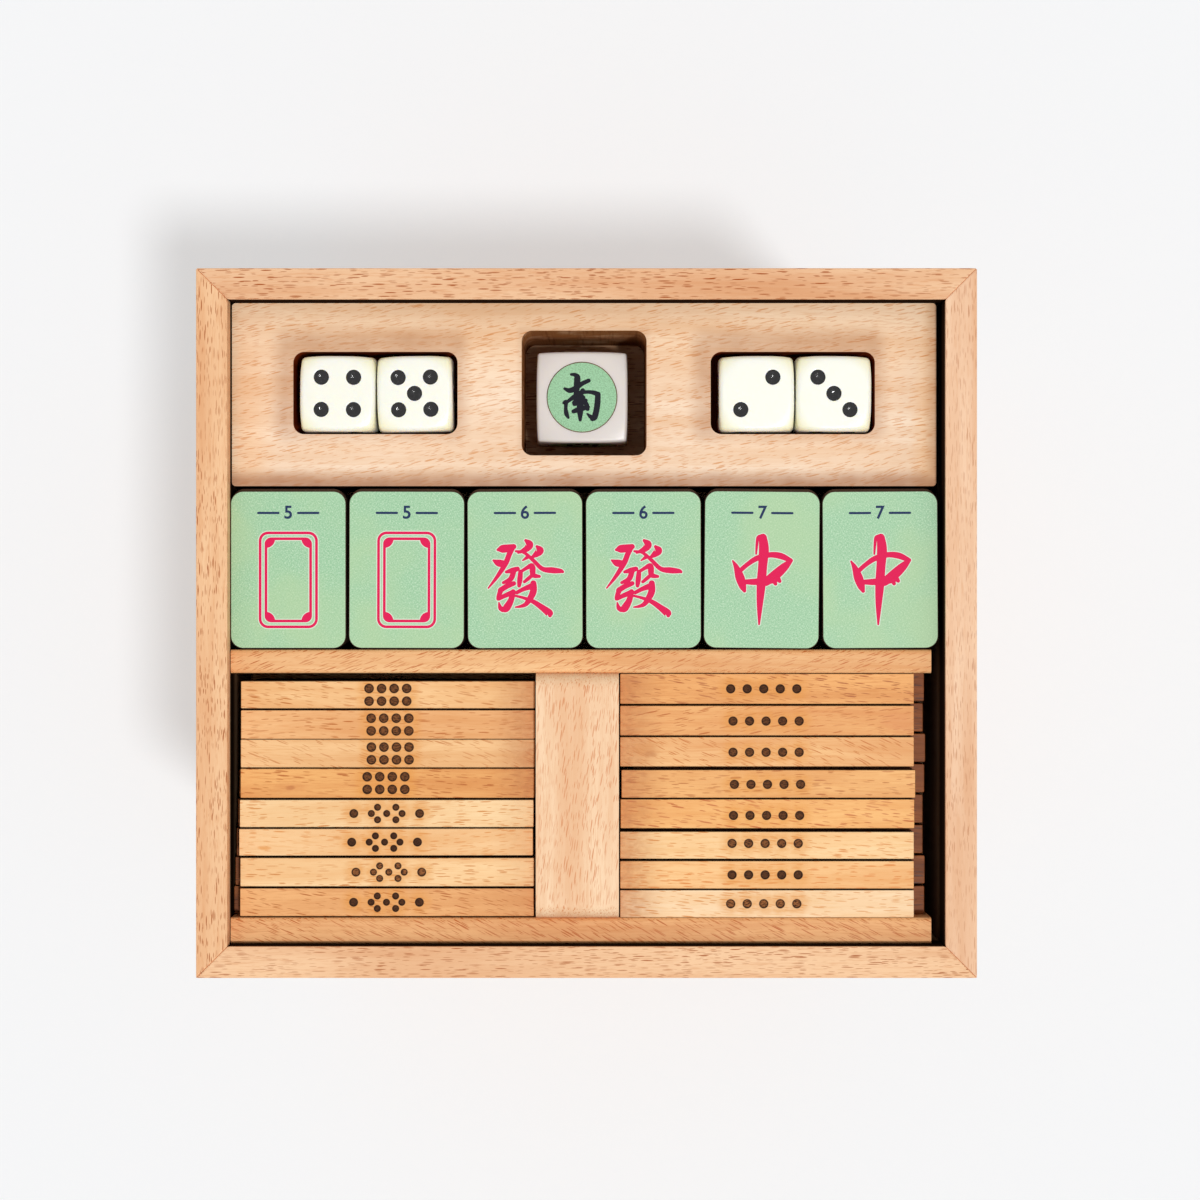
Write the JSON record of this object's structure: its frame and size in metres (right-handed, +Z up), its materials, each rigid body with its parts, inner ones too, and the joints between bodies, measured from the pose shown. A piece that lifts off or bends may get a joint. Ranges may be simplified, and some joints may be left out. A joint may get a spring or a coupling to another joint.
{
  "type": "mahjong case with drawers",
  "caption": "Beech mahjong case: an open accessory compartment with dice, dragon tiles and counting sticks, over drawers with finger scoops.",
  "frame": {"origin": "middle of the underside, on the surface the case stands on", "axes": "+X to the right, +Y to the back, +Z up; the drawers open towards -Y"},
  "size_m": [0.165, 0.15, 0.227],
  "materials": {
    "case_beech": "oiled beech, satin",
    "drawer_beech": "oiled beech, satin",
    "block_beech": "oiled beech, satin",
    "rail_beech": "steamed beech, satin",
    "post_beech": "oiled beech, satin",
    "stick_beech": "laser-cut beech with burnt edges and dots",
    "ivory_plastic": "polished ivory plastic with black dished pips",
    "white_plastic": "polished white plastic",
    "printed_disc": "printed green disc with a dark sign",
    "tile_print": "mint green print on a dark laser-cut tile"
  },
  "bodies": {
    "case": {"left_wall": "case_beech", "right_wall": "case_beech", "back_wall": "case_beech", "front_rail": "case_beech", "bottom_panel": "case_beech", "compartment_floor": "case_beech", "lower_divider": "case_beech", "upper_divider": "case_beech", "lower_tiles": "tile_print"},
    "lower_drawer": {"lower_drawer_front": "drawer_beech", "lower_drawer_left_side": "drawer_beech", "lower_drawer_right_side": "drawer_beech", "lower_drawer_back": "drawer_beech", "lower_drawer_bottom": "drawer_beech"},
    "middle_drawer": {"middle_drawer_front": "drawer_beech", "middle_drawer_left_side": "drawer_beech", "middle_drawer_right_side": "drawer_beech", "middle_drawer_back": "drawer_beech", "middle_drawer_bottom": "drawer_beech"},
    "upper_drawer": {"upper_drawer_front": "drawer_beech", "upper_drawer_left_side": "drawer_beech", "upper_drawer_right_side": "drawer_beech", "upper_drawer_back": "drawer_beech", "upper_drawer_bottom": "drawer_beech"},
    "dice_block": {"dice_block": "block_beech"},
    "die_1": {"die_1": "ivory_plastic"},
    "die_2": {"die_2": "ivory_plastic"},
    "die_3": {"die_3": "ivory_plastic"},
    "die_4": {"die_4": "ivory_plastic"},
    "wind_die": {"wind_die": "white_plastic", "wind_discs": "printed_disc"},
    "white_dragon_1": {"white_dragon_1": "tile_print"},
    "white_dragon_2": {"white_dragon_2": "tile_print"},
    "green_dragon_1": {"green_dragon_1": "tile_print"},
    "green_dragon_2": {"green_dragon_2": "tile_print"},
    "red_dragon_1": {"red_dragon_1": "tile_print"},
    "red_dragon_2": {"red_dragon_2": "tile_print"},
    "stick_tray": {"tray_base": "rail_beech", "front_tray_rail": "rail_beech", "rear_tray_rail": "rail_beech", "grip_post": "post_beech", "left_lower_sticks": "stick_beech", "right_lower_sticks": "stick_beech"},
    "hundreds": {"left_stick_1": "stick_beech", "left_stick_2": "stick_beech", "left_stick_3": "stick_beech", "left_stick_4": "stick_beech"},
    "ten_thousands": {"left_stick_5": "stick_beech", "left_stick_6": "stick_beech", "left_stick_7": "stick_beech", "left_stick_8": "stick_beech"},
    "five_thousands": {"right_stick_1": "stick_beech", "right_stick_2": "stick_beech", "right_stick_3": "stick_beech", "right_stick_4": "stick_beech", "right_stick_5": "stick_beech", "right_stick_6": "stick_beech", "right_stick_7": "stick_beech", "right_stick_8": "stick_beech"}
  },
  "joints": [
    {"name": "lower_drawer_slide", "type": "slide", "parent": "case", "child": "lower_drawer", "axis": [0, -1, 0], "range_m": [0, 0.11]},
    {"name": "middle_drawer_slide", "type": "slide", "parent": "case", "child": "middle_drawer", "axis": [0, -1, 0], "range_m": [0, 0.11]},
    {"name": "upper_drawer_slide", "type": "slide", "parent": "case", "child": "upper_drawer", "axis": [0, -1, 0], "range_m": [0, 0.11]},
    {"name": "dice_block_lift", "type": "slide", "parent": "case", "child": "dice_block", "axis": [0, 0, 1], "range_m": [0, 0.05]},
    {"name": "die_1_lift", "type": "slide", "parent": "dice_block", "child": "die_1", "axis": [0, 0, 1], "range_m": [0, 0.02]},
    {"name": "die_2_lift", "type": "slide", "parent": "dice_block", "child": "die_2", "axis": [0, 0, 1], "range_m": [0, 0.02]},
    {"name": "die_3_lift", "type": "slide", "parent": "dice_block", "child": "die_3", "axis": [0, 0, 1], "range_m": [0, 0.02]},
    {"name": "die_4_lift", "type": "slide", "parent": "dice_block", "child": "die_4", "axis": [0, 0, 1], "range_m": [0, 0.02]},
    {"name": "wind_die_lift", "type": "slide", "parent": "case", "child": "wind_die", "axis": [0, 0, 1], "range_m": [0, 0.05]},
    {"name": "white_dragon_1_lift", "type": "slide", "parent": "case", "child": "white_dragon_1", "axis": [0, 0, 1], "range_m": [0, 0.04]},
    {"name": "white_dragon_2_lift", "type": "slide", "parent": "case", "child": "white_dragon_2", "axis": [0, 0, 1], "range_m": [0, 0.04]},
    {"name": "green_dragon_1_lift", "type": "slide", "parent": "case", "child": "green_dragon_1", "axis": [0, 0, 1], "range_m": [0, 0.04]},
    {"name": "green_dragon_2_lift", "type": "slide", "parent": "case", "child": "green_dragon_2", "axis": [0, 0, 1], "range_m": [0, 0.04]},
    {"name": "red_dragon_1_lift", "type": "slide", "parent": "case", "child": "red_dragon_1", "axis": [0, 0, 1], "range_m": [0, 0.04]},
    {"name": "red_dragon_2_lift", "type": "slide", "parent": "case", "child": "red_dragon_2", "axis": [0, 0, 1], "range_m": [0, 0.04]},
    {"name": "stick_tray_lift", "type": "slide", "parent": "case", "child": "stick_tray", "axis": [0, 0, 1], "range_m": [0, 0.05]},
    {"name": "hundreds_lift", "type": "slide", "parent": "stick_tray", "child": "hundreds", "axis": [0, 0, 1], "range_m": [0, 0.015]},
    {"name": "ten_thousands_lift", "type": "slide", "parent": "stick_tray", "child": "ten_thousands", "axis": [0, 0, 1], "range_m": [0, 0.02]},
    {"name": "five_thousands_lift", "type": "slide", "parent": "stick_tray", "child": "five_thousands", "axis": [0, 0, 1], "range_m": [0, 0.025]}
  ]
}
